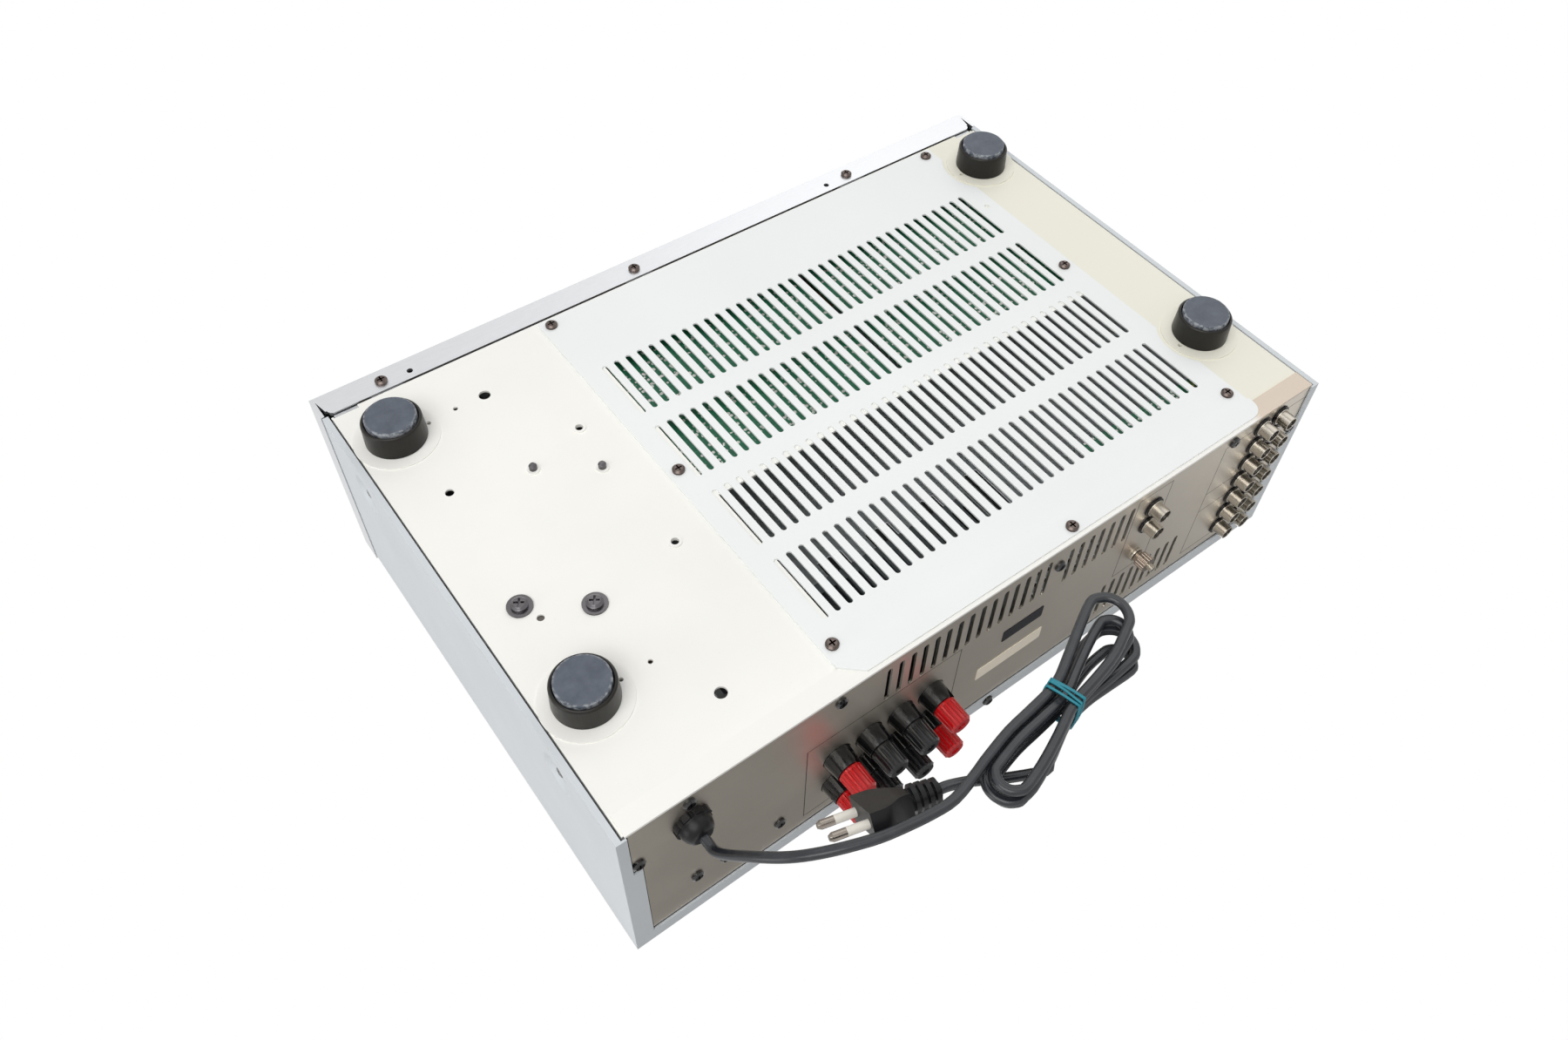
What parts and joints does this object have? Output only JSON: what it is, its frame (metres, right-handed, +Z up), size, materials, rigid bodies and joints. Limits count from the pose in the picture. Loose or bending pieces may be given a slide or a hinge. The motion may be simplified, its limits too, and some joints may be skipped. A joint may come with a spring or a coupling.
{
  "type": "stereo amplifier",
  "caption": "Low wide hi-fi amplifier with slotted bottom plate, round feet, knobs in front, speaker terminals and jacks behind, and a tied power cord.",
  "frame": {"origin": "centre of the amplifier's bounding box, cord left out, on the plane its feet stand on", "axes": "+X to the right as seen from the front, -Y out of the front panel, +Z up"},
  "size_m": [0.434, 0.3932, 0.1338],
  "materials": {
    "tray_paint": "satin warm cream paint",
    "vent_paint": "satin cool white paint",
    "rear_plating": "warm plated steel, soft reflections",
    "frame_steel": "zinc plated",
    "cover_paint": "satin blue-grey silver paint",
    "front_aluminium": "brushed and anodised",
    "foot_plastic": "black, slightly glossy",
    "pad_rubber": "slate, worn",
    "bright_steel": "plated",
    "dark_steel": "dark bronze plating",
    "black_steel": "black, glossy",
    "black_plastic": "moulded black",
    "cord_rubber": "black, soft sheen",
    "band_rubber": "turquoise",
    "pin_metal": "nickel with pale sleeves",
    "core_iron": "varnished laminations",
    "winding_copper": "enamelled copper",
    "sink_aluminium": "anodised teal-grey",
    "board_laminate": "green laminate",
    "can_sleeve": "dark sleeve",
    "spacer_brass": "plain",
    "switch_laminate": "brown laminate",
    "cap_red": "clear red moulding",
    "cap_black": "black moulding",
    "jack_nickel": "nickel plated",
    "knob_aluminium": "turned and anodised",
    "shaft_steel": "plain"
  },
  "bodies": {
    "case": {"chassis_tray": "tray_paint", "vent_plate": "vent_paint", "rear_panel": "rear_plating", "front_subframe": "frame_steel", "top_cover": "cover_paint", "front_panel": "front_aluminium", "foot_front_left": "foot_plastic", "foot_front_right": "foot_plastic", "foot_rear_left": "foot_plastic", "foot_rear_right": "foot_plastic", "foot_pads": "pad_rubber", "foot_screws": "bright_steel", "bottom_screws": "dark_steel", "case_screws": "black_steel", "transformer_bolts": "bright_steel", "cord_gland": "black_plastic", "cord_lead": "cord_rubber", "cord_hank": "cord_rubber", "cord_tail": "cord_rubber", "cord_tie": "band_rubber", "plug_body": "cord_rubber", "plug_pins": "pin_metal", "transformer_core": "core_iron", "transformer_winding": "winding_copper", "heat_sink": "sink_aluminium", "power_transistors": "black_plastic", "main_board": "board_laminate", "filter_capacitors": "can_sleeve", "input_board": "board_laminate", "board_standoffs": "spacer_brass", "volume_pot": "bright_steel", "tone_pots": "bright_steel", "input_switch": "switch_laminate", "power_switch": "black_plastic", "headphone_jack": "black_plastic", "terminal_block": "black_plastic", "terminal_studs": "spacer_brass", "input_jacks": "jack_nickel", "jack_insulators": "black_plastic", "ground_post": "jack_nickel"},
    "volume_control": {"volume_knob": "knob_aluminium", "volume_shaft": "shaft_steel"},
    "input_control": {"input_knob": "knob_aluminium", "input_shaft": "shaft_steel"},
    "bass_control": {"bass_knob": "knob_aluminium", "bass_shaft": "shaft_steel"},
    "treble_control": {"treble_knob": "knob_aluminium", "treble_shaft": "shaft_steel"},
    "balance_control": {"balance_knob": "knob_aluminium", "balance_shaft": "shaft_steel"},
    "power_button": {"power_button": "knob_aluminium"},
    "ground_nut": {"ground_nut": "jack_nickel"},
    "speaker_cap_1": {"terminal_cap_1": "cap_red"},
    "speaker_cap_2": {"terminal_cap_2": "cap_black"},
    "speaker_cap_3": {"terminal_cap_3": "cap_black"},
    "speaker_cap_4": {"terminal_cap_4": "cap_red"},
    "speaker_cap_5": {"terminal_cap_5": "cap_red"},
    "speaker_cap_6": {"terminal_cap_6": "cap_black"},
    "speaker_cap_7": {"terminal_cap_7": "cap_black"},
    "speaker_cap_8": {"terminal_cap_8": "cap_red"}
  },
  "joints": [
    {"name": "volume_turn", "type": "hinge", "parent": "case", "child": "volume_control", "pos_m": [0.158, -0.146, 0.0758], "axis": [0, 1, 0], "range_deg": [-150, 150]},
    {"name": "input_turn", "type": "hinge", "parent": "case", "child": "input_control", "pos_m": [0.092, -0.146, 0.0758], "axis": [0, 1, 0], "range_deg": [-150, 150]},
    {"name": "bass_turn", "type": "hinge", "parent": "case", "child": "bass_control", "pos_m": [-0.096, -0.146, 0.0498], "axis": [0, 1, 0], "range_deg": [-140, 140]},
    {"name": "treble_turn", "type": "hinge", "parent": "case", "child": "treble_control", "pos_m": [-0.048, -0.146, 0.0498], "axis": [0, 1, 0], "range_deg": [-140, 140]},
    {"name": "balance_turn", "type": "hinge", "parent": "case", "child": "balance_control", "pos_m": [0, -0.146, 0.0498], "axis": [0, 1, 0], "range_deg": [-140, 140]},
    {"name": "power_push", "type": "slide", "parent": "case", "child": "power_button", "axis": [0, 1, 0], "range_m": [0, 0.003], "stiffness_N_per_m": 250, "springref_m": -0.002},
    {"name": "speaker_cap_1_turn", "type": "hinge", "parent": "case", "child": "speaker_cap_1", "pos_m": [-0.103, 0.154, 0.0723], "axis": [0, 1, 0], "range_deg": [0, 1440]},
    {"name": "speaker_cap_2_turn", "type": "hinge", "parent": "case", "child": "speaker_cap_2", "pos_m": [-0.084, 0.154, 0.0723], "axis": [0, 1, 0], "range_deg": [0, 1440]},
    {"name": "speaker_cap_3_turn", "type": "hinge", "parent": "case", "child": "speaker_cap_3", "pos_m": [-0.065, 0.154, 0.0723], "axis": [0, 1, 0], "range_deg": [0, 1440]},
    {"name": "speaker_cap_4_turn", "type": "hinge", "parent": "case", "child": "speaker_cap_4", "pos_m": [-0.046, 0.154, 0.0723], "axis": [0, 1, 0], "range_deg": [0, 1440]},
    {"name": "speaker_cap_5_turn", "type": "hinge", "parent": "case", "child": "speaker_cap_5", "pos_m": [-0.103, 0.154, 0.0973], "axis": [0, 1, 0], "range_deg": [0, 1440]},
    {"name": "speaker_cap_6_turn", "type": "hinge", "parent": "case", "child": "speaker_cap_6", "pos_m": [-0.084, 0.154, 0.0973], "axis": [0, 1, 0], "range_deg": [0, 1440]},
    {"name": "speaker_cap_7_turn", "type": "hinge", "parent": "case", "child": "speaker_cap_7", "pos_m": [-0.065, 0.154, 0.0973], "axis": [0, 1, 0], "range_deg": [0, 1440]},
    {"name": "speaker_cap_8_turn", "type": "hinge", "parent": "case", "child": "speaker_cap_8", "pos_m": [-0.046, 0.154, 0.0973], "axis": [0, 1, 0], "range_deg": [0, 1440]},
    {"name": "ground_nut_turn", "type": "hinge", "parent": "case", "child": "ground_nut", "pos_m": [0.096, 0.148, 0.0734], "axis": [0, 1, 0], "range_deg": [0, 1440]}
  ]
}
